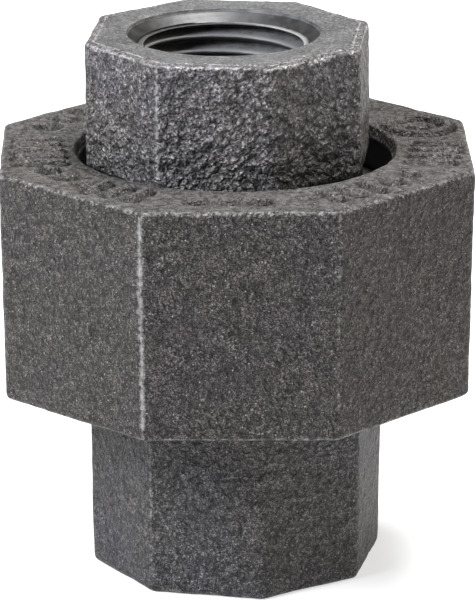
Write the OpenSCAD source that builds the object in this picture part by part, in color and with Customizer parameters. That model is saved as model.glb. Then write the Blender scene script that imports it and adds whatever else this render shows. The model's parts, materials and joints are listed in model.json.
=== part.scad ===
// Pipe union, 1/2 inch taper pipe thread: two octagon ends drawn together by an octagon nut.
// Millimetres, +Z up. The origin is in the middle of the lower end face.

/* [Overall] */
// Height from end face to end face
overall_h = 62.8; // [62:0.2:66]
// Width across the flats of the tailpiece's octagon
tail_flats = 31.4; // [30:0.1:32]
// Width across the flats of the head piece's octagon
head_flats = 31.8; // [30:0.1:32]
// Rounding left on the corners of the octagon ends, measured off the corner
end_corner_cut = 0.18; // [0.1:0.02:0.4]

/* [Union nut] */
// Width across the flats of the nut
nut_flats = 53.8; // [52:0.2:58]
// Height of the nut
nut_h = 26.9; // [25:0.1:27.5]
// Height of the nut's underside above the lower end face
nut_z = 22.4; // [21:0.1:24]
// Radius of the hole in the nut's top
nut_hole_r = 17.9; // [17.8:0.1:18.2]
// Thickness of the lip that pulls the tailpiece down
nut_lip_h = 5.2; // [4:0.2:6]
// Rounding left on the corners of the nut, measured off the corner
nut_corner_cut = 0.25; // [0.1:0.05:0.5]

/* [Union thread] */
// Pitch of the union thread
union_pitch = 2.309; // [2.309:0.1:2.409]
// Outer radius of the thread on the head piece
union_major_r = 21.1; // [21:0.05:21.3]
// Radial depth of the union thread
union_depth = 1.35; // [1.2:0.05:1.4]
// Width of the thread's flat crest
union_crest_w = 0.35; // [0.25:0.05:0.4]
// Running clearance of the union thread
union_clear = 0.2; // [0.15:0.01:0.25]

/* [Pipe thread] */
// Radius of the tapping bore, which the thread's crests keep
pipe_minor_r = 9.13; // [9:0.01:9.3]
// Radius of the thread's root at the end face
pipe_root_r = 10.6; // [10.4:0.05:10.8]
// Pitch of the pipe thread
pipe_pitch = 1.814; // [1.814:0.1:1.914]
// Number of thread grooves
pipe_turns = 7; // [5:1:7]
// Radius of the countersink at the end face
mouth_r = 11.05; // [10.9:0.05:11.3]
// Depth of the countersink
mouth_h = 1.35; // [1:0.05:1.6]
// Radius of the waterway past the thread
waterway_r = 8.4; // [7.5:0.1:8.6]

/* [Tailpiece] */
// How far the tailpiece's octagon stands off the union's axis
tail_shift = 0.8; // [0:0.1:0.8]
// How far its pipe thread stands off the octagon's centre
tail_bore_shift = 0.5; // [0:0.1:0.5]
// Turn of the tailpiece's octagon
tail_turn = -5.7; // [-22.5:0.1:22.5]
// Turn of the head piece's octagon
head_turn = -12.6; // [-22.5:0.1:22.5]
// Turn of the nut's octagon
nut_turn = 1; // [-22.5:0.1:22.5]
// Radius of the ball face
ball_r = 17.5; // [17:0.1:18]
// Radius of the collar that the nut holds
collar_r = 19.3; // [19:0.1:19.5]
// Thickness of the collar
collar_h = 4.6; // [4:0.2:5]

/* [Hidden] */
$fn = 96;

OCTAGON = 8;
POLYGON_FLAT = 22.5;                       // turns a flat of the octagon to face -Y
past = 1;                                  // how far a cut runs past a face
bury = 0.25;                               // how far the thread form is rooted in its core

nut_top = nut_z + nut_h;
lip_z = nut_top - nut_lip_h;
hole_bevel_w = 0.5;
hole_bevel_h = 1.2;

shoulder_gap = 0.08;                       // between the nut's lip and the collar
collar_top = lip_z - shoulder_gap;
collar_z = collar_top - collar_h;
neck_r = 14.6;
neck_start = 1.5;                          // how far the neck starts below the nut's top
tail_octagon_z = nut_top - neck_start;

head_gap = 0.9;                            // between the head piece's rim and the collar
head_top = collar_z - head_gap;

// Ball and cone meet at 45 degrees, a hair apart
seat_gap = 0.07;
ball_rise = 8.6;                           // the ball's centre over the collar's underside
ball_h = 5.7;                              // how far the ball reaches below the collar
ball_z = collar_z + ball_rise;
ball_end_z = collar_z - ball_h;
cone_offset = ball_z - ball_r * sqrt(2) - seat_gap;   // the cone is z = r + cone_offset

seat_outer_r = 15.2;
seat_inner_r = 9.6;
seat_land_r = 14.2;
seat_foot = 1;                             // thickness of the ring at its bore
seat_interference = 0.01;
seat_bottom = seat_inner_r + cone_offset - seat_foot;
seat_top = seat_land_r + cone_offset;
pocket_bevel = 0.6;

union_minor_r = union_major_r - union_depth;
nut_minor_r = union_minor_r + union_clear;
nut_major_r = union_major_r + union_clear + 0.05;
flank_gap = 0.12;
STEPS = 40;                                // facets in one turn

// Up the outside of the head piece: octagon, flare, relief, threaded boss
octagon_end_z = nut_z + 1.2;
flare_z = nut_z - 1.6;
flare_inset = 2.2;                         // of the flare's foot, inside the octagon's corners
boss_z = nut_z + 3.6;
relief_z = boss_z - 1.2;
relief_r = union_minor_r - 0.3;
thread_z = boss_z + 1;                     // middle of the first turn
thread_end = 1.6;                          // how far the last turn stays below the rim
thread_turns = floor((head_top - thread_end - thread_z) / union_pitch * 8) / 8;

// Inside the nut: entry cone, thread, undercut
entry_h = 2.1;
entry_clear = 0.4;
undercut_h = 2.4;
undercut_z = head_top - 0.9;
undercut_r = nut_major_r + 0.2;
turns_below = 3;                           // turns cut below the head piece's first

function half_angle() = 180 / OCTAGON;
function corner_r(flats) = flats / 2 / cos(half_angle());
// Width of the union thread's form at radius r
function form_w(r) = union_crest_w + 2 * (union_major_r - r) * tan(30);

// An octagonal bar, its corners turned down to a slightly smaller circle
module octagon_bar(flats, corner_cut, h, turn) {
    linear_extrude(height = h)
        intersection() {
            rotate(turn + POLYGON_FLAT) circle(r = corner_r(flats), $fn = OCTAGON);
            circle(r = corner_r(flats) - corner_cut);
        }
}

// A right-hand helix of trapezoid section that runs out into its core at the chosen ends
function helix_reach(i, last, run_in, run_out) =
    min(run_in > 0 ? min(1, i / run_in) : 1, run_out > 0 ? min(1, (last - i) / run_out) : 1);
module helix(root_r, tip_r, root_w, tip_w, z, turns, run_in, run_out) {
    last = round(turns * STEPS);
    points = [for (i = [0:last])
        let (a = i * 360 / STEPS, mid = z + union_pitch * i / STEPS,
             reach = helix_reach(i, last, run_in, run_out),
             r = root_r + (tip_r - root_r) * max(0.1, reach))
        for (p = [[root_r, -root_w / 2], [r, -tip_w / 2], [r, tip_w / 2], [root_r, root_w / 2]])
            [p[0] * cos(a), p[0] * sin(a), mid + p[1]]];
    sides = [for (i = [0:last - 1]) for (k = [0:3])
        let (n = (k + 1) % 4)
        each [[4 * i + k, 4 * i + n, 4 * i + 4 + n], [4 * i + k, 4 * i + 4 + n, 4 * i + 4 + k]]];
    polyhedron(points, concat([[3, 2, 1, 0]], sides, [[for (j = [0:3]) 4 * last + j]]));
}

// Tapered pipe thread cut as rings: bore, root grooves and countersink, opening at z = 0 towards +Z
module pipe_socket(depth) {
    groove = 0.48 * pipe_pitch;            // half the width of a groove
    first = 0.55;                          // turns from the countersink to the first groove
    translate([0, 0, -depth]) cylinder(r = pipe_minor_r, h = depth + past);
    for (i = [0:pipe_turns - 1])
        let (z = -mouth_h - pipe_pitch * (i + first), root = pipe_root_r + z / 32)
            translate([0, 0, z]) rotate_extrude()
                polygon([[pipe_minor_r - bury, -groove], [root, 0], [pipe_minor_r - bury, groove]]);
    translate([0, 0, -mouth_h]) cylinder(r1 = mouth_r - mouth_h, r2 = mouth_r, h = mouth_h);
}

socket_h = mouth_h + pipe_pitch * (pipe_turns + 0.6);

module head_piece() {
    color("dimgray") difference() {
        union() {
            octagon_bar(head_flats, end_corner_cut, octagon_end_z, head_turn);
            translate([0, 0, flare_z])
                cylinder(r1 = corner_r(head_flats) - flare_inset, r2 = relief_r, h = relief_z - flare_z);
            translate([0, 0, relief_z]) cylinder(r = relief_r, h = boss_z - relief_z + past);
            translate([0, 0, boss_z]) cylinder(r = union_minor_r, h = head_top - boss_z);
            helix(union_minor_r - bury, union_major_r, form_w(union_minor_r - bury), union_crest_w,
                  thread_z, thread_turns, STEPS / 4, STEPS / 4);
        }
        mirror([0, 0, 1]) pipe_socket(socket_h);
        translate([0, 0, socket_h - past]) cylinder(r = waterway_r, h = head_top);
        translate([0, 0, seat_bottom]) cylinder(r = seat_outer_r, h = head_top);
        translate([0, 0, head_top - pocket_bevel])
            cylinder(r1 = seat_outer_r, r2 = seat_outer_r + pocket_bevel, h = pocket_bevel);
    }
}

module brass_seat_ring() {
    color("goldenrod") rotate_extrude()
        polygon([[seat_inner_r, seat_bottom], [seat_outer_r + seat_interference, seat_bottom],
                 [seat_outer_r + seat_interference, seat_top], [seat_land_r, seat_top],
                 [seat_inner_r, seat_inner_r + cone_offset]]);
}

module tailpiece() {
    color("gray") difference() {
        union() {
            translate([-tail_shift, 0, tail_octagon_z])
                octagon_bar(tail_flats, end_corner_cut, overall_h - tail_octagon_z, tail_turn);
            translate([0, 0, collar_z]) cylinder(r = neck_r, h = tail_octagon_z - collar_z + past);
            translate([0, 0, collar_z]) cylinder(r = collar_r, h = collar_h);
            intersection() {
                translate([0, 0, ball_z]) sphere(r = ball_r);
                translate([0, 0, ball_end_z]) cylinder(r = neck_r + 1, h = collar_z - ball_end_z + past);
            }
        }
        translate([-tail_shift - tail_bore_shift, 0, overall_h]) pipe_socket(socket_h);
        translate([0, 0, ball_end_z - past])
            cylinder(r = waterway_r, h = overall_h - socket_h - ball_end_z + 2 * past);
    }
}

module union_nut() {
    groove_r = nut_minor_r - bury;
    groove_turns = ceil((undercut_z + undercut_h / 2 - thread_z) / union_pitch * 8) / 8 + turns_below;
    color("darkslategray") difference() {
        translate([0, 0, nut_z]) octagon_bar(nut_flats, nut_corner_cut, nut_h, nut_turn);
        translate([0, 0, nut_z - past]) cylinder(r = nut_minor_r, h = lip_z - nut_z + past);
        translate([0, 0, nut_z - past]) cylinder(r = nut_hole_r, h = nut_h + 2 * past);
        translate([0, 0, nut_top - hole_bevel_h])
            cylinder(r1 = nut_hole_r, r2 = nut_hole_r + hole_bevel_w, h = hole_bevel_h);
        translate([0, 0, undercut_z]) cylinder(r = undercut_r, h = undercut_h);
        translate([0, 0, nut_z]) cylinder(r1 = nut_major_r + entry_clear, r2 = nut_minor_r, h = entry_h);
        helix(groove_r, nut_major_r, form_w(groove_r) + 2 * flank_gap, form_w(nut_major_r) + 2 * flank_gap,
              thread_z - turns_below * union_pitch, groove_turns, 0, 0);
    }
}

head_piece();
brass_seat_ring();
tailpiece();
union_nut();
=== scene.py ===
"""The looks of a cast iron pipe union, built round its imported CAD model.

Outlines are worked out in millimetres in the CAD model's frame, and become metres when a mesh is made.
"""
import json
import math

import bpy
import numpy as np
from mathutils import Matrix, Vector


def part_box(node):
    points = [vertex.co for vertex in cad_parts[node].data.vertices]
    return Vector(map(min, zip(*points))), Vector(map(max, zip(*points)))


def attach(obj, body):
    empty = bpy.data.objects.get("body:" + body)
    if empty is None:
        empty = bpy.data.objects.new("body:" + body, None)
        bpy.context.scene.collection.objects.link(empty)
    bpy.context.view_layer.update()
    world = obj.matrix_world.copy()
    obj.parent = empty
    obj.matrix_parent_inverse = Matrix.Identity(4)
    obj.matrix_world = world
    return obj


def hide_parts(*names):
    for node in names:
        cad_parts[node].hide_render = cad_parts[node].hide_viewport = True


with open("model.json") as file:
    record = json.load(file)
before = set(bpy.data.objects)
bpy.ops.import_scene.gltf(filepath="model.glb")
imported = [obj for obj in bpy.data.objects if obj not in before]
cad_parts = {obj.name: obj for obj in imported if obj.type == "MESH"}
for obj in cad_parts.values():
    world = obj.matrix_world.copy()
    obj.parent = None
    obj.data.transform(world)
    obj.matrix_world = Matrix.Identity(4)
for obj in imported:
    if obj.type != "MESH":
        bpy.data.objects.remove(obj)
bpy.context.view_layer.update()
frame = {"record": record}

MM = 0.001
TURN = 2 * math.pi


# ---------------------------------------------------------------------------
# Sizes, in millimetres: what the frame can tell comes from the frame
# ---------------------------------------------------------------------------

def node_box(node):
    """The lowest and highest corner of a CAD node, in millimetres."""
    return [np.array(corner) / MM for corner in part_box(node)]


mounts = {m["name"]: m for m in frame["record"]["mounts"]}

# Octagon ends
HEAD_FLATS = 31.8
HEAD_DRAFT = 0.35
HEAD_TURN = math.radians(-12.6)
TAIL_FLATS = 31.4
TAIL_TURN = math.radians(-5.7)
END_CORNER = 1.4
RIM_W = 1.1
SHOULDER_H = 1.2
CHAMFER = 0.3
POCKET_CHAMFER = 0.6

# Nut
NUT_FLATS = 53.8
NUT_DRAFT = 0.9
NUT_TURN = math.radians(1)
NUT_CORNER = 1.4
NUT_Z, NUT_TOP = node_box("union_nut")[0][2], node_box("union_nut")[1][2]
LIP_H = 5.2
HOLE_R = 17.9
HOLE_BEVEL_W = 0.5
HOLE_BEVEL_H = 1.2

# Union thread
UNION_PITCH = 2.309
UNION_MAJOR_R = 21.1
UNION_MINOR_R = 19.75
UNION_CREST_W = 0.35
UNION_TURNS = 4.25
UNION_Z = NUT_Z + 4.6
NUT_MINOR_R = 19.95
NUT_MAJOR_R = 21.35
FLANK_GAP = 0.12
UNDERCUT_H = 2.4
FLANK_60 = 1 / math.tan(math.radians(30))

# Pipe thread
PIPE_MINOR_R = mounts["tail_thread"]["dims"]["r_mm"]
PIPE_ROOT_R = 10.6
PIPE_PITCH = 1.814
PIPE_TAPER = 1 / 32
PIPE_START = 0.64
PIPE_DEPTH = 14.0
SEEN_DEPTH = 5.5
ROOT_ROUNDING = 0.06
SOCKET_H = 15.14
MOUTH_R = 11.05
MOUTH_H = 1.35
WATERWAY_R = 8.4

# Tailpiece
OVERALL_H = node_box("tailpiece")[1][2]
BALL_END_Z = node_box("tailpiece")[0][2]
COLLAR_R = node_box("tailpiece")[1][0]
COLLAR_H = 4.6
LIP_Z = NUT_TOP - LIP_H
COLLAR_TOP = LIP_Z - 0.08
COLLAR_Z = COLLAR_TOP - COLLAR_H
BALL_R = 17.5
BALL_Z = COLLAR_Z + 8.6
NECK_R = 14.6
TAIL_OCTAGON_Z = NUT_TOP - 1.5
TAIL_X = -0.8
TAIL_BORE_X = mounts["tail_thread"]["pos_m"][0] / MM

# Head piece and brass ring
HEAD_TOP = node_box("head_piece")[1][2]
BOSS_Z = NUT_Z + 3.6
SEAT_BOTTOM, SEAT_TOP = node_box("brass_seat_ring")[0][2], node_box("brass_seat_ring")[1][2]
SEAT_OUTER_R = node_box("brass_seat_ring")[1][0]
SEAT_INNER_R = 9.6
SEAT_LAND_R = 14.2


# ---------------------------------------------------------------------------
# Noise
# ---------------------------------------------------------------------------

def scatter(cell, seed):
    """A repeatable number from -1 to 1 for each whole-number cell."""
    x, y, z = (cell[..., k].astype(np.int64) for k in range(3))
    n = (x * 73856093) ^ (y * 19349663) ^ (z * 83492791) ^ (seed * 15485863)
    n = ((n ^ (n >> 13)) * 1274126177) & 0xFFFFFFFF
    n = ((n ^ (n >> 15)) * 668265263) & 0xFFFFFFFF
    return (n ^ (n >> 16)) / 0x7FFFFFFF - 1


def noise(points, size, seed):
    """Smooth noise from -1 to 1, with lumps about size millimetres across."""
    a, b = 0.62, 1.1
    turned = np.array([[math.cos(a), -math.sin(a), 0], [math.sin(a), math.cos(a), 0], [0, 0, 1]])
    tipped = np.array([[1, 0, 0], [0, math.cos(b), -math.sin(b)], [0, math.sin(b), math.cos(b)]])
    p = points @ (turned @ tipped) / size + 11.7 * seed
    cell = np.floor(p)
    f = p - cell
    f = f * f * (3 - 2 * f)
    total = np.zeros(p.shape[:-1])
    for corner in range(8):
        step = np.array([corner & 1, corner >> 1 & 1, corner >> 2 & 1])
        total += np.prod(np.where(step, f, 1 - f), axis=-1) * scatter(cell + step, seed)
    return total


def smooth(x):
    """0 below 0, 1 above 1, and an even rise between."""
    x = np.clip(x, 0, 1)
    return x * x * (3 - 2 * x)


# ---------------------------------------------------------------------------
# Outlines
# ---------------------------------------------------------------------------

def angles(columns, turn=0.0):
    """The angle of each column. With 16 columns or a multiple of it, an octagon's corners fall on columns."""
    return turn + np.arange(columns) * TURN / columns


def octagon(angle, flats, corner, turn):
    """The radius of an octagon with rounded corners at each angle. Untwisted, a flat faces -Y."""
    half = TURN / 16
    off_flat = np.abs((angle - turn + half) % (2 * half) - half)
    off_corner = half - off_flat
    apothem = flats / 2
    middle = (apothem - corner) / math.cos(half)
    flat_end = math.atan((apothem - corner) * math.tan(half) / apothem)
    arc = middle * np.cos(off_corner) + np.sqrt(
        np.maximum(corner ** 2 - (middle * np.sin(off_corner)) ** 2, 0))
    return np.where(off_flat < flat_end, apothem / np.cos(off_flat), arc)


def corner_wear_and_highlight(angle, turn, strengths, width):
    """How worn and how brightened by painted highlight an octagon's eight vertical edges are, the first one
    at 22.5 degrees from +X untwisted.
    """
    eighth = TURN / 8
    number = np.floor((angle - turn) / eighth).astype(int) % 8
    off_corner = np.abs((angle - turn) % eighth - eighth / 2)
    return np.array(strengths)[number] * np.maximum(1 - off_corner / width, 0)


def turns_apart(z, angle, start, pitch):
    """How far z is along the axis from the middle of the nearest turn of a right-hand helix."""
    return (z - start - pitch * angle / TURN + pitch / 2) % pitch - pitch / 2


def pipe_groove(mouth_z, into):
    """The root grooves of a taper pipe thread. into is 1 where depth grows with z, -1 where it falls."""
    start = mouth_z + into * PIPE_START

    def form(r, z, angle):
        depth = (z - mouth_z) * into
        root = PIPE_ROOT_R - depth * PIPE_TAPER
        root = PIPE_MINOR_R + (root - PIPE_MINOR_R) * smooth(PIPE_DEPTH - depth)
        apart = np.abs(turns_apart(z, angle, start, PIPE_PITCH))
        return np.maximum(r, np.clip(root + ROOT_ROUNDING - apart * FLANK_60, PIPE_MINOR_R, root))
    return form


def union_ridge(r, z, angle):
    """The head piece's union thread, which runs out at both ends."""
    apart = turns_apart(z, angle, UNION_Z, UNION_PITCH)
    along = (z - apart - UNION_Z) / UNION_PITCH
    rise = smooth(np.minimum(along, UNION_TURNS - along) * 4)
    height = np.clip(UNION_MAJOR_R - (np.abs(apart) - UNION_CREST_W / 2) * FLANK_60,
                     UNION_MINOR_R, UNION_MAJOR_R) - UNION_MINOR_R
    return np.maximum(r, UNION_MINOR_R + height * rise)


def union_groove(r, z, angle):
    """The nut's union thread."""
    apart = np.abs(turns_apart(z, angle, UNION_Z, UNION_PITCH))
    half_w = UNION_CREST_W / 2 + FLANK_GAP
    form = UNION_MAJOR_R - (apart - half_w) * FLANK_60
    return np.maximum(r, np.clip(form, NUT_MINOR_R, NUT_MAJOR_R))


class Point:
    """One corner of a piece's outline, and the stretch from it to the next corner.

    r is a number, or an array with one radius for each column; x moves the whole ring sideways.
    fillet is how far back from the corner its rounding starts. step is the spacing of rows along
    the stretch, skin is its finish, and form changes its radii, as a thread does. The last argument is how
    rubbed the rounding is, and also how much painted highlight it gets.
    """
    def __init__(self, r, z, x=0.0, fillet=0.0, step=0.6, skin="machined", form=None, wear_and_highlight=0.9):
        self.r, self.z, self.x, self.fillet = r, z, x, fillet
        self.step, self.skin, self.form, self.wear_and_highlight = step, skin, form, wear_and_highlight

    def ring(self, columns):
        full = np.ones(columns)
        return np.array([full * self.x, full * self.r, full * self.z])


def setback(here, there, distance):
    """A ring that lies distance along the way from one ring to another."""
    length = np.linalg.norm(there - here, axis=0)
    return here + (there - here) * np.minimum(distance / np.maximum(length, 1e-9), 0.5)


def outline(path, angle):
    """Rows of (x, r, z) for every column round a closed path of points, with each row's skin and its wear,
    which is partly a painted highlight.
    """
    rings = [p.ring(len(angle)) for p in path]
    rows, skins, row_wear_and_highlight = [], [], []
    for k, point in enumerate(path):
        before, here, after = rings[k - 1], rings[k], rings[(k + 1) % len(path)]
        following = path[(k + 1) % len(path)]
        if point.fillet:
            start, end = setback(here, before, point.fillet), setback(here, after, point.fillet)
            turn_rows = max(3, min(6, round(point.fillet * 4) + 1))
            for s in np.linspace(0, 1, turn_rows):
                rows.append((1 - s) ** 2 * start + 2 * s * (1 - s) * here + s * s * end)
                skins.append(point.skin if s > 0.5 or k == 0 else path[k - 1].skin)
                row_wear_and_highlight.append(point.wear_and_highlight * (1 - abs(2 * s - 1)))
        else:
            end = here
            rows.append(here)
            skins.append(point.skin)
            row_wear_and_highlight.append(0.0)
        stop = setback(after, here, following.fillet) if following.fillet else after
        length = np.abs(stop - end)
        count = max(1, math.ceil(np.sqrt((length ** 2).sum(0)).max() / point.step))
        for s in np.arange(1, count) / count:
            row = end + (stop - end) * s
            if point.form:
                row = np.array([row[0], point.form(row[1], row[2], angle), row[2]])
            rows.append(row)
            skins.append(point.skin)
            row_wear_and_highlight.append(0.0)
    return np.array(rows), skins, np.array(row_wear_and_highlight)


# ---------------------------------------------------------------------------
# Meshes
# ---------------------------------------------------------------------------

SKINS = ("cast", "faced", "machined", "thread")
EDGE_W = 0.9


def surface_normals(points):
    """Normals of a grid of points that closes on itself both ways."""
    along = np.roll(points, -1, axis=0) - np.roll(points, 1, axis=0)
    around = np.roll(points, -1, axis=1) - np.roll(points, 1, axis=1)
    normal = np.cross(around, along)
    return normal / np.maximum(np.linalg.norm(normal, axis=-1, keepdims=True), 1e-12)


def blurred(values, times):
    for _ in range(times):
        values = (np.roll(values, 1, axis=0) + 2 * values + np.roll(values, -1, axis=0)) / 4
    return values


def cast_skin(points, seed):
    """How far a sand-cast skin stands off its pattern, in millimetres."""
    patches = 0.6 + 0.4 * noise(points, 7, seed + 5)
    return (0.09 * noise(points, 11, seed) + 0.05 * noise(points, 3.6, seed + 1)
            + patches * (0.05 * noise(points, 1.7, seed + 2) + 0.05 * noise(points, 0.9, seed + 3)) - 0.09)


def lathed(name, path, angle, materials, seed, turn=0, edges=(0,) * 8, relief=None):
    """A closed piece swept round Z from its outline, with a cast skin where the outline says so."""
    rows, skins, row_wear_and_highlight = outline(path, angle)
    columns = len(angle)
    x, r, z = rows[:, 0], rows[:, 1], rows[:, 2]
    points = np.stack([x + r * np.cos(angle), r * np.sin(angle), z], -1)
    cast = np.array([skin == "cast" for skin in skins], float)[:, None] * np.ones(columns)
    normal = surface_normals(points)
    upright = 1 - np.abs(normal[..., 2])
    # Edge wear with painted highlight: the strengths make the edges facing the left light lightest
    corners = corner_wear_and_highlight(angle, turn, edges, EDGE_W / r.max()) * upright
    edge = np.maximum(row_wear_and_highlight[:, None], corners) * cast
    thread = np.array([skin == "thread" for skin in skins])[:, None]
    # Painted sheen: the thread crests are lightened in colour, as the light line along each crest
    crest = smooth(1.2 - (r - PIPE_MINOR_R) / 0.5) * thread
    amount = blurred(cast, 1)[..., None]
    ragged = (0.07 * noise(points, 1.3, seed + 8) - 0.03) * blurred(edge, 2)
    places = points + normal * amount * (cast_skin(points, seed) + ragged)[..., None]
    painted_shade = np.zeros(cast.shape)
    if relief is not None:
        height, painted_shade, rubbed_and_highlit = relief(points)
        places[..., 2] += height * cast
        edge = np.maximum(edge, rubbed_and_highlit)
    mesh = bpy.data.meshes.new(name)
    count = len(rows)
    row, column = np.meshgrid(np.arange(count), np.arange(columns), indexing="ij")
    next_row, next_column = (row + 1) % count, (column + 1) % columns
    quads = np.stack([row * columns + column, row * columns + next_column,
                      next_row * columns + next_column, next_row * columns + column], -1)
    mesh.from_pydata(places.reshape(-1, 3) * MM, [], quads.reshape(-1, 4).tolist())
    for material in materials:
        mesh.materials.append(material)
    index = np.array([SKINS.index(skin) for skin in skins])[:, None] * np.ones(columns)
    mesh.polygons.foreach_set("material_index", index.astype(np.int32).ravel())
    mesh.polygons.foreach_set("use_smooth", np.ones(count * columns, bool))
    # The second kept value is painted shade in the moats round the nut's marks
    for label, values in (("wear_and_highlight", edge + crest), ("painted_shade", painted_shade * cast)):
        kept = mesh.attributes.new(label, "FLOAT", "POINT")
        kept.data.foreach_set("value", np.clip(values, 0, 1).ravel())
    mesh.update()
    piece = bpy.data.objects.new(name, mesh)
    bpy.context.scene.collection.objects.link(piece)
    return piece


# ---------------------------------------------------------------------------
# Materials
# ---------------------------------------------------------------------------

class Shader:
    """A short way to write a node material. Object coordinates come in millimetres."""
    def __init__(self, name):
        self.material = bpy.data.materials.new(name)
        self.material.use_nodes = True
        self.tree = self.material.node_tree
        self.shader = self.tree.nodes["Principled BSDF"]
        coordinates = self.tree.nodes.new("ShaderNodeTexCoord")
        self.place = self.node("ShaderNodeVectorMath", operation="SCALE", inputs={
            0: coordinates.outputs["Object"], "Scale": 1 / MM}).outputs[0]

    def node(self, kind, inputs=None, **settings):
        made = self.tree.nodes.new(kind)
        for key, value in settings.items():
            setattr(made, key, value)
        for key, value in (inputs or {}).items():
            self.feed(made.inputs[key], value)
        return made

    def feed(self, socket, value):
        if isinstance(value, bpy.types.NodeSocket):
            self.tree.links.new(value, socket)
        else:
            socket.default_value = value

    def noise(self, size, detail=3.0, roughness=0.6, place=None):
        """Noise whose lumps are about size millimetres across."""
        made = self.node("ShaderNodeTexNoise", {
            "Vector": place or self.place, "Scale": 1 / size, "Detail": detail, "Roughness": roughness})
        return made.outputs["Fac"]

    def ramp(self, value, *stops):
        """A colour ramp through stops of (position, grey or colour)."""
        made = self.node("ShaderNodeValToRGB", {"Fac": value})
        elements = made.color_ramp.elements
        while len(elements) < len(stops):
            elements.new(0.5)
        for element, (position, colour) in zip(elements, stops):
            element.position = position
            element.color = (*((colour,) * 3 if isinstance(colour, (int, float)) else colour), 1)
        return made.outputs["Color"]

    def math(self, operation, a, b=0.0):
        return self.node("ShaderNodeMath", {0: a, 1: b}, operation=operation).outputs[0]

    def mix(self, amount, a, b, blend="MIX"):
        made = self.node("ShaderNodeMix", data_type="RGBA", blend_type=blend)
        for socket, value in ((made.inputs["Factor"], amount), (made.inputs[6], a), (made.inputs[7], b)):
            self.feed(socket, value if isinstance(value, (bpy.types.NodeSocket, float)) else (*value, 1))
        return made.outputs[2]

    def bump(self, height, depth, strength=1.0, under=None):
        """A bump of the given depth, in millimetres."""
        inputs = {"Height": height, "Distance": depth * MM, "Strength": strength}
        if under is not None:
            inputs["Normal"] = under
        return self.node("ShaderNodeBump", inputs).outputs["Normal"]

    def kept(self, label):
        """A value that the mesh keeps at each of its points."""
        return self.node("ShaderNodeAttribute", attribute_name=label).outputs["Fac"]

    def radius(self):
        """Distance from the piece's axis, in millimetres."""
        flat = self.node("ShaderNodeVectorMath", {0: self.place, 1: (1.0, 1.0, 0.0)}, operation="MULTIPLY")
        return self.node("ShaderNodeVectorMath", {0: flat.outputs[0]}, operation="LENGTH").outputs["Value"]

    def height(self):
        return self.node("ShaderNodeSeparateXYZ", {0: self.place}).outputs["Z"]

    def finish(self, **sockets):
        for key, value in sockets.items():
            self.feed(self.shader.inputs[key.replace("_", " ")], value)
        return self.material


# What the cast skin's colour runs to
RUST = (0.075, 0.045, 0.03)
# Lighter dust colour for upward faces, partly a painted top light
DUST_AND_TOP_LIGHT = (0.12, 0.115, 0.11)
SPECK = (0.5, 0.5, 0.52)
# Bare metal of worn edges, and partly a painted highlight on the edges that the left light catches
BARE_AND_HIGHLIGHT = (0.36, 0.355, 0.35)
# Painted shade: near-black colour for the sunk moats round the nut's marks
PAINTED_SHADE = (0.006, 0.0055, 0.005)


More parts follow.
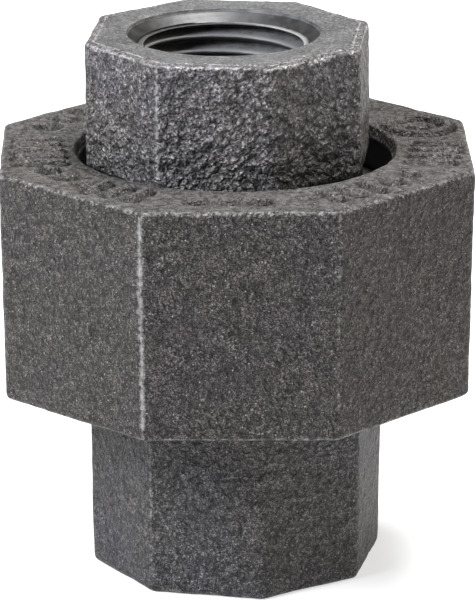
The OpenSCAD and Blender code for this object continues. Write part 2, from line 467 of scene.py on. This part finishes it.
def cast_iron(name, grain, tone, contrast, lumpy, sparkle, tints):
    """Black sand-cast iron: dark pebbled grain with bright specks, drifting colour, and edges lightened
    partly by wear and partly as a painted highlight, lighter upward faces partly as painted top light, and
    painted shade in the marks' moats.

    grain scales the pebbles, tone is the middle grey, contrast and lumpy are how strong the grain and the
    bumps are, sparkle is how bright the specks are, and tints are two colours that the skin drifts between.
    """
    s = Shader(name)
    fine = s.noise(0.17 * grain, 2.0, 0.6)
    pebble_scale = 1 / (0.5 * grain)
    jitter = s.node("ShaderNodeTexNoise", {"Vector": s.place, "Scale": pebble_scale, "Detail": 2.0})
    bent = s.node("ShaderNodeVectorMath", {0: s.place, 1: jitter.outputs["Color"]}, operation="ADD")
    pebbles = s.node("ShaderNodeTexVoronoi", {
        "Vector": bent.outputs[0], "Scale": pebble_scale}).outputs["Distance"]
    coarse = s.math("SUBTRACT", 0.92, pebbles)
    lumps = s.noise(1.3 * grain, 2.0, 0.5)
    spread = 0.18 / contrast
    body = s.ramp(fine, (0.5 - spread, 0.25 * tone), (0.5, tone), (0.5 + spread, 3.0 * tone))
    body = s.mix(1.0, body, s.ramp(coarse, (0.15, 0.5), (0.45, 1.0), (0.78, 1.75)), "MULTIPLY")
    body = s.mix(1.0, body, s.ramp(lumps, (0.36, 0.8), (0.5, 1.0), (0.64, 1.25)), "MULTIPLY")
    drift = s.ramp(s.noise(13.0, 2.0, 0.5), (0.38, tints[0]), (0.62, tints[1]))
    body = s.mix(1.0, body, drift, "MULTIPLY")
    rust = s.math("MULTIPLY", s.ramp(s.noise(3.4, 4.0, 0.65), (0.62, 0.0), (0.75, 0.5)), 0.3)
    body = s.mix(rust, body, RUST)
    # Upward-facing faces get lighter patches: partly dust, partly painted light from above
    facing = s.node("ShaderNodeNewGeometry").outputs["Normal"]
    up = s.node("ShaderNodeSeparateXYZ", {0: facing}).outputs["Z"]
    patches = s.ramp(s.noise(0.8, 4.0, 0.7), (0.45, 0.0), (0.66, 0.8))
    body = s.mix(s.math("MULTIPLY", s.ramp(up, (0.5, 0.0), (0.95, 1.0)), patches), body, DUST_AND_TOP_LIGHT)
    cells = s.node("ShaderNodeTexVoronoi", {"Vector": s.place, "Scale": 2.6 / grain, "Randomness": 1.0})
    chosen = s.ramp(s.node("ShaderNodeSeparateColor", {0: cells.outputs["Color"]}).outputs[0],
                    (0.87, 0.0), (0.93, 1.0))
    core = s.ramp(cells.outputs["Distance"], (0.16, 1.0), (0.32, 0.0))
    speck = s.math("MULTIPLY", s.math("MULTIPLY", chosen, core), sparkle)
    body = s.mix(speck, body, SPECK)
    # Edges lightened towards bare metal: partly wear, partly a painted highlight
    broken = s.math("MULTIPLY", s.noise(0.7, 4.0, 0.75), 0.95)
    ridge = s.math("ADD", s.math("MULTIPLY", s.kept("wear_and_highlight"), 0.45), broken)
    body = s.mix(s.ramp(ridge, (0.7, 0.0), (1.0, 0.8)), body, BARE_AND_HIGHLIGHT)
    # Painted shade: the moats round the nut's marks are darkened near black
    body = s.mix(s.kept("painted_shade"), body, PAINTED_SHADE)
    height = s.math("ADD", s.math("MULTIPLY", fine, 0.3), s.math("MULTIPLY", coarse, 0.35 * lumpy))
    normal = s.bump(s.math("ADD", height, s.math("MULTIPLY", lumps, 1.2 * lumpy)), 0.5 * grain, 1.0)
    rough = s.math("ADD", 0.34, s.math("MULTIPLY", fine, 0.45))
    rough = s.math("SUBTRACT", rough, s.math("MULTIPLY", speck, 0.2))
    rough = s.math("MAXIMUM", rough, s.math("MULTIPLY", s.kept("painted_shade"), 0.95))
    return s.finish(Base_Color=body, Roughness=rough, Metallic=0.35, Specular_IOR_Level=0.25, Normal=normal)


def faced_iron(name):
    """A faced end, dulled by handling, with faint turning rings."""
    s = Shader(name)
    fine = s.noise(0.3, 3.0, 0.6)
    patch = s.noise(3.0, 3.0, 0.6)
    rings = s.node("ShaderNodeTexNoise", {"W": s.radius(), "Scale": 5.0, "Detail": 2.0},
                   noise_dimensions="1D").outputs["Fac"]
    body = s.ramp(fine, (0.32, 0.035), (0.5, 0.082), (0.66, 0.16))
    body = s.mix(1.0, body, s.ramp(patch, (0.35, 0.7), (0.65, 1.15)), "MULTIPLY")
    height = s.math("ADD", fine, s.math("MULTIPLY", rings, 0.5))
    return s.finish(Base_Color=body, Roughness=0.5, Metallic=0.35, Normal=s.bump(height, 0.16, 1.0))


def machined_iron(name, tone, crest_tone, roughness):
    """Turned iron with fine tool rings, lightened by the kept wear value, which on thread crests is a painted
    sheen.
    """
    s = Shader(name)
    across = s.math("ADD", s.radius(), s.math("MULTIPLY", s.height(), 1.3))
    rings = s.node("ShaderNodeTexNoise", {"W": across, "Scale": 9.0, "Detail": 2.0},
                   noise_dimensions="1D").outputs["Fac"]
    stain = s.noise(1.6, 4.0, 0.65)
    body = s.ramp(stain, (0.35, 0.45 * tone), (0.55, tone), (0.7, 1.25 * tone))
    # Painted sheen on thread crests, and lightening of rubbed places
    body = s.mix(s.kept("wear_and_highlight"), body, (crest_tone, crest_tone, crest_tone))
    rough = s.math("ADD", roughness, s.math("MULTIPLY", stain, 0.15))
    return s.finish(Base_Color=body, Roughness=rough, Metallic=0.35, Normal=s.bump(rings, 0.03, 0.6))


def turned_brass(name):
    s = Shader(name)
    across = s.math("ADD", s.radius(), s.math("MULTIPLY", s.height(), 1.3))
    rings = s.node("ShaderNodeTexNoise", {"W": across, "Scale": 8.0, "Detail": 2.0},
                   noise_dimensions="1D").outputs["Fac"]
    stain = s.noise(2.5, 4.0, 0.6)
    body = s.ramp(stain, (0.3, (0.38, 0.24, 0.09)), (0.55, (0.66, 0.46, 0.19)), (0.7, (0.72, 0.53, 0.25)))
    return s.finish(Base_Color=body, Roughness=0.3, Metallic=1.0, Normal=s.bump(rings, 0.02, 0.5))


machined = machined_iron("machined_iron", 0.03, 0.045, 0.34)
threaded = machined_iron("oiled_thread", 0.1, 0.19, 0.55)
faced = faced_iron("faced_iron")


def skins(cast_material):
    """The materials of an iron piece, in the order of SKINS."""
    return [cast_material, faced, machined, threaded]


# ---------------------------------------------------------------------------
# Pieces
# ---------------------------------------------------------------------------

def pipe_bore(mouth_z, into, x, step):
    """The points of a pipe thread's mouth and bore, from the end face inwards."""
    start = mouth_z + into * MOUTH_H
    bottom = mouth_z + into * SOCKET_H
    near = mouth_z + into * SEEN_DEPTH
    thread = pipe_groove(mouth_z, into)
    return [Point(MOUTH_R, mouth_z, x, 0.08, 0.2, "thread"),
            Point(MOUTH_R - 0.12, mouth_z + into * 0.38, x, 0, 0.2, "machined", thread),
            Point(MOUTH_R - MOUTH_H, start, x, 0, 0.1, "thread", thread),
            Point(PIPE_MINOR_R, start + into * 0.1, x, 0, step, "thread", thread),
            Point(PIPE_MINOR_R, near, x, 0, 0.2, "thread", thread),
            Point(PIPE_MINOR_R, bottom, x, 0.2, 0.6, "machined")]


def make_head_piece():
    angle = angles(336, HEAD_TURN)
    foot = octagon(angle, HEAD_FLATS - HEAD_DRAFT, END_CORNER * 0.8, HEAD_TURN)
    shoulder = octagon(angle, HEAD_FLATS + HEAD_DRAFT, END_CORNER, HEAD_TURN)
    pocket_r = SEAT_OUTER_R
    bore = pipe_bore(0, 1, 0, 0.22)
    path = [Point(foot, 0, 0, 1.0, 0.5, "cast", wear_and_highlight=0.6),
            Point(shoulder, NUT_Z + SHOULDER_H, 0, 1.2, 0.5, "cast"),
            Point(UNION_MINOR_R - 2.6, NUT_Z + 1.4, 0, 0.4, 0.6, "cast"),
            Point(UNION_MINOR_R - CHAMFER, BOSS_Z - 1.2, 0, 0.2, 0.5, "machined"),
            Point(UNION_MINOR_R - CHAMFER, BOSS_Z, 0, 0.1, 0.3, "machined"),
            Point(UNION_MINOR_R, BOSS_Z + CHAMFER, 0, 0, 0.17, "machined", union_ridge),
            Point(UNION_MINOR_R, HEAD_TOP - CHAMFER, 0, 0.1, 0.3, "machined"),
            Point(UNION_MINOR_R - CHAMFER, HEAD_TOP, 0, 0.1, 0.6, "machined"),
            Point(pocket_r + POCKET_CHAMFER, HEAD_TOP, 0, 0.1, 0.4, "machined"),
            Point(pocket_r, HEAD_TOP - POCKET_CHAMFER, 0, 0.1, 0.6, "machined"),
            Point(pocket_r, SEAT_BOTTOM, 0, 0.1, 0.8, "machined"),
            Point(WATERWAY_R, SEAT_BOTTOM, 0, 0.3, 1.5, "machined"),
            Point(WATERWAY_R, SOCKET_H, 0, 0.2, 0.6, "machined")] + bore[::-1]
    shift_stretches(path, len(path) - len(bore))
    path.append(Point(foot - RIM_W, 0, 0, 0.3, 0.5, "cast"))
    path[-2].skin, path[-2].step, path[-2].form = "faced", 0.4, None
    # Edge strengths: the sixth, the front-left edge, is strongest as a painted highlight where the left light
    # catches it
    return lathed("head_piece_iron", path, angle, skins(head_iron), 40, HEAD_TURN,
                  (0.2, 0.3, 0.2, 0.4, 0.3, 0.65, 0.4, 0.2))


def shift_stretches(path, start):
    """After part of a path is reversed, each point takes on the stretch that now follows it."""
    for here, there in zip(path[start:-1], path[start + 1:]):
        here.step, here.skin, here.form = there.step, there.skin, there.form


def make_tailpiece():
    angle = angles(400, TAIL_TURN)
    side = octagon(angle, TAIL_FLATS, END_CORNER, TAIL_TURN)
    inner = side - RIM_W
    lowest = math.acos((BALL_Z - BALL_END_Z) / BALL_R)
    highest = math.acos((BALL_Z - COLLAR_Z) / BALL_R)
    ball = [Point(BALL_R * math.sin(a), BALL_Z - BALL_R * math.cos(a), 0, 0, 0.6, "machined")
            for a in np.linspace(lowest, highest, 14)]
    path = ball + [
        Point(COLLAR_R, COLLAR_Z, 0, 0.5, 0.6, "machined"),
        Point(COLLAR_R, COLLAR_TOP, 0, 0.4, 0.6, "machined"),
        Point(NECK_R, COLLAR_TOP, 0, 0.4, 0.6, "machined"),
        Point(NECK_R, TAIL_OCTAGON_Z, 0, 0.3, 0.5, "cast"),
        Point(side, TAIL_OCTAGON_Z, TAIL_X, 0.7, 0.32, "cast"),
        Point(side, OVERALL_H, TAIL_X, 0.9, 0.3, "cast"),
        Point(inner, OVERALL_H, TAIL_X, 0.3, 0.3, "faced"),
        *pipe_bore(OVERALL_H, -1, TAIL_BORE_X, 0.12),
        Point(WATERWAY_R, OVERALL_H - SOCKET_H, 0, 0.2, 1.5, "machined"),
        Point(WATERWAY_R, BALL_END_Z, 0, 0.2, 0.6, "machined")]
    # Edge strengths: the sixth, the front-left edge, is strongest as a painted highlight where the left light
    # catches it
    return lathed("tailpiece_iron", path, angle, skins(tail_iron), 70, TAIL_TURN,
                  (0.3, 0.1, 0.4, 0.2, 0.3, 0.9, 0.3, 0.2))


def make_union_nut():
    angle = angles(416, NUT_TURN)
    foot = octagon(angle, NUT_FLATS - NUT_DRAFT, NUT_CORNER, NUT_TURN)
    crown = octagon(angle, NUT_FLATS, NUT_CORNER, NUT_TURN)
    undercut_z = HEAD_TOP - 0.9
    undercut_top = undercut_z + UNDERCUT_H
    path = [Point(foot, NUT_Z, 0, 0.9, 0.45, "cast", wear_and_highlight=0.75),
            Point(crown, NUT_TOP, 0, 0.8, 0.24, "cast"),
            Point(HOLE_R + HOLE_BEVEL_W, NUT_TOP, 0, 0.3, 0.3, "cast", wear_and_highlight=0.5),
            Point(HOLE_R, NUT_TOP - HOLE_BEVEL_H, 0, 0.3, 0.8, "machined"),
            Point(HOLE_R, LIP_Z, 0, 0.3, 0.7, "machined"),
            Point(NUT_MINOR_R, LIP_Z, 0, 0.2, 0.7, "machined"),
            Point(NUT_MINOR_R, undercut_top, 0, 0.1, 0.5, "machined"),
            Point(NUT_MAJOR_R + 0.2, undercut_top, 0, 0.2, 0.6, "machined"),
            Point(NUT_MAJOR_R + 0.2, undercut_z, 0, 0.2, 0.5, "machined"),
            Point(NUT_MINOR_R, undercut_z, 0, 0, 0.2, "machined", union_groove),
            Point(NUT_MINOR_R, NUT_Z + 2.1, 0, 0, 0.2, "machined", union_groove),
            Point(NUT_MAJOR_R + 0.4, NUT_Z, 0, 0.3, 0.6, "cast")]
    # Edge strengths: the sixth, the front-left edge, is strongest as a painted highlight where the left light
    # catches it
    return lathed("union_nut_iron", path, angle, skins(nut_iron), 10, NUT_TURN,
                  (0.4, 0.6, 0.3, 0.7, 0.5, 1.0, 0.6, 0.4), casting_marks)


# Raised marks on the nut's top, as strokes in a group's own frame: (from, to, half width), where a place
# is (along the rim, away from the axis), in millimetres. They are plain bars, dots and rings.
MARK_H = 0.55
MOAT_H = 0.6


def bars(count, gap, length, half_w=0.5):
    """Parallel bars that point away from the axis."""
    places = [(k - (count - 1) / 2) * gap for k in range(count)]
    return [((u, -length / 2), (u, length / 2), half_w) for u in places]


def dots(count, gap, half_w=0.9):
    """Dots in a row along the rim."""
    places = [(k - (count - 1) / 2) * gap for k in range(count)]
    return [((u - 0.1, 0), (u + 0.1, 0), half_w) for u in places]


def target(size):
    """A ring with a dot in its middle."""
    sides = 16
    turns = [TURN * k / sides for k in range(sides + 1)]
    corners = [(size * math.cos(a), size * math.sin(a)) for a in turns]
    return [(a, b, 0.5) for a, b in zip(corners, corners[1:])] + dots(1, 1, 1.2)


# (angle of the group's middle from +X, its distance from the axis, strokes)
MARKS = (
    (21, 22.7, target(3.4)),
    (352, 22.9, bars(4, 2.5, 4.6)),
    (325, 22.9, dots(2, 3.6)),
    (305, 22.8, bars(3, 2.8, 3.0)),
    (268, 22.7, dots(3, 3.6)),
    (235, 22.8, bars(3, 2.8, 3.4)),
    (214, 22.8, dots(3, 3.6)),
    (185, 22.6, bars(5, 2.5, 4.8)),
    (148, 23.2, dots(3, 3.8, 1.1)),
    (110, 22.8, target(3.2)),
    (77, 22.7, bars(4, 2.5, 4.4)),
)


def casting_marks(points):
    """For each point of the nut's top face: how high its marks stand, how much painted shade darkens the
    moats round them, and how light their tops are, partly wear and partly a painted highlight.
    """
    height, painted_shade, rubbed_and_highlit = (np.zeros(points.shape[:2]) for _ in range(3))
    top = points[..., 2] > NUT_TOP - 0.05
    place = points[top]
    rough = 0.08 * noise(place, 0.9, 3) + 0.1 * noise(place, 2.1, 4)
    faded = np.clip(0.85 + 0.4 * noise(place, 4.5, 6), 0.55, 1)
    raised, moat_zone = np.zeros(len(place)), np.zeros(len(place))
    for angle, distance, strokes in MARKS:
        out = np.array([math.cos(math.radians(angle)), math.sin(math.radians(angle))])
        side = np.array([-out[1], out[0]])
        for start, end, half_w in strokes:
            start, end = (out * (distance + v) + side * u for u, v in (start, end))
            way = end - start
            share = np.clip(((place[:, :2] - start) @ way) / (way @ way), 0, 1)
            away = np.linalg.norm(place[:, :2] - start - share[:, None] * way, axis=1) - half_w + rough
            raised = np.maximum(raised, smooth(0.5 - away / 0.45))
            moat_zone = np.maximum(moat_zone, smooth(2.0 - away / 0.35))
    moat = moat_zone * (1 - smooth(raised / 0.7)) * faded
    height[top] = MARK_H * raised * faded - MOAT_H * moat
    # Painted shade: the moat is darkened in colour as well as sunk
    painted_shade[top] = moat
    # Mark tops lightened: partly wear, partly a painted highlight on the raised marks
    rubbed_and_highlit[top] = 0.35 * smooth(2 * raised - 1) * faded
    return height, painted_shade, rubbed_and_highlit


def make_seat_ring():
    slope = (SEAT_TOP - SEAT_BOTTOM - 1) / (SEAT_LAND_R - SEAT_INNER_R)
    path = [Point(SEAT_INNER_R, SEAT_BOTTOM, 0, 0.1, 0.6, "machined"),
            Point(SEAT_OUTER_R, SEAT_BOTTOM, 0, 0.2, 0.6, "machined"),
            Point(SEAT_OUTER_R, SEAT_TOP, 0, 0.15, 0.4, "machined"),
            Point(SEAT_LAND_R, SEAT_TOP, 0, 0.1, 0.4, "machined"),
            Point(SEAT_INNER_R, SEAT_TOP - (SEAT_LAND_R - SEAT_INNER_R) * slope, 0, 0.1, 0.5, "machined")]
    brass = turned_brass("seat_brass")
    return lathed("seat_ring_brass", path, angles(240), [brass] * len(SKINS), 90)


WARM = ((1.09, 0.975, 0.96), (1.09, 1.0, 0.9))
COOL = ((1.03, 0.975, 1.03), (1.06, 1.0, 0.95))
nut_iron = cast_iron("nut_cast_iron", 0.95, 0.033, 1.5, 1.35, 0.4, WARM)
tail_iron = cast_iron("tail_cast_iron", 1.4, 0.084, 0.85, 2.1, 0.3, COOL)
head_iron = cast_iron("head_cast_iron", 0.95, 0.047, 1.1, 1.3, 0.35, COOL)

for make, node, body, finish in (
        (make_head_piece, "head_piece", "head", "malleable_iron"),
        (make_seat_ring, "brass_seat_ring", "head", "seat_brass"),
        (make_tailpiece, "tailpiece", "tail", "malleable_iron"),
        (make_union_nut, "union_nut", "nut", "malleable_iron")):
    piece = make()
    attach(piece, body)
    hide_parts(node)


# ---------------------------------------------------------------------------
# Floor, light and camera
# ---------------------------------------------------------------------------

# Sizes of the floor and backdrop, in metres, and how brightly they glow
FLOOR_HALF = 4.0
FLOOR_GLOW = 0.65
WALL_R = 3.2
WALL_H = 1.6
WALL_GLOW = 0.71


def make_floor():
    mesh = bpy.data.meshes.new("floor")
    corners = [(x * FLOOR_HALF, y * FLOOR_HALF, 0) for x, y in ((-1, -1), (1, -1), (1, 1), (-1, 1))]
    mesh.from_pydata(corners, [], [(0, 1, 2, 3)])
    s = Shader("floor_paint")
    mesh.materials.append(s.finish(Base_Color=(0.45, 0.45, 0.45, 1), Roughness=0.9, Specular_IOR_Level=0.1,
                                   Emission_Color=(1, 1, 1, 1), Emission_Strength=FLOOR_GLOW))
    floor = bpy.data.objects.new("floor", mesh)
    bpy.context.scene.collection.objects.link(floor)
    floor.location.z = -0.02 * MM


def make_backdrop():
    """A far wall as bright as the far floor, so that low views have no dark sky. It lights nothing."""
    sides = 64
    turns = [TURN * k / sides for k in range(sides)]
    ring = [(WALL_R * math.cos(a), WALL_R * math.sin(a)) for a in turns]
    mesh = bpy.data.meshes.new("backdrop")
    mesh.from_pydata([(x, y, z) for z in (-0.1, WALL_H) for x, y in ring], [],
                     [(k, (k + 1) % sides, sides + (k + 1) % sides, sides + k) for k in range(sides)])
    s = Shader("backdrop_paint")
    mesh.materials.append(s.finish(Base_Color=(0, 0, 0, 1), Roughness=1.0, Specular_IOR_Level=0.0,
                                   Emission_Color=(1, 1, 1, 1), Emission_Strength=WALL_GLOW))
    wall = bpy.data.objects.new("backdrop", mesh)
    bpy.context.scene.collection.objects.link(wall)
    wall.visible_diffuse = wall.visible_glossy = wall.visible_shadow = False


def aim(obj, place):
    way = np.array(place) - np.array(obj.location)
    flat = math.hypot(way[0], way[1])
    obj.rotation_euler = (math.atan2(flat, -way[2]), 0, math.atan2(-way[0], way[1]))


def softbox(name, azimuth, elevation, distance, width, height, power, colour=(1, 1, 1)):
    """A soft area light. Azimuth 0 is the camera's side and 90 is +X."""
    light = bpy.data.lights.new(name, "AREA")
    light.shape = "RECTANGLE"
    light.size, light.size_y = width, height
    light.energy, light.color = power, colour
    lamp = bpy.data.objects.new(name, light)
    a, e = math.radians(azimuth), math.radians(elevation)
    lamp.location = (distance * math.sin(a) * math.cos(e), -distance * math.cos(a) * math.cos(e),
                     distance * math.sin(e) + 0.03)
    aim(lamp, (0, 0, 0.03))
    lamp.visible_camera = False
    bpy.context.scene.collection.objects.link(lamp)


def light_studio():
    world = bpy.data.worlds.new("studio")
    world.use_nodes = True
    background = world.node_tree.nodes["Background"]
    background.inputs["Color"].default_value = (1, 0.965, 0.92, 1)
    background.inputs["Strength"].default_value = 0.14
    bpy.context.scene.world = world
    softbox("top_box", 125, 76, 0.7, 0.28, 0.28, 12.0)
    softbox("left_box", -54, 40, 0.6, 0.2, 0.26, 6.8, (0.91, 0.93, 1.0))
    softbox("right_box", 108, 24, 0.6, 0.25, 0.4, 0.8, (1.0, 0.88, 0.7))
    bpy.context.scene.view_settings.view_transform = "Standard"


def make_camera():
    data = bpy.data.cameras.new("camera")
    camera = bpy.data.objects.new("camera", data)
    bpy.context.scene.collection.objects.link(camera)
    data.sensor_width = 36
    data.lens = 305.8
    distance, elevation, roll = 0.5889, math.radians(17.35), math.radians(-0.17)
    target = (0.00025, 0, 0.03081)
    camera.location = (target[0], -distance * math.cos(elevation), target[2] + distance * math.sin(elevation))
    aim(camera, target)
    camera.rotation_euler.rotate_axis("Z", roll)
    data.clip_start, data.clip_end = 0.01, 100
    bpy.context.scene.camera = camera


make_floor()
make_backdrop()
light_studio()
make_camera()
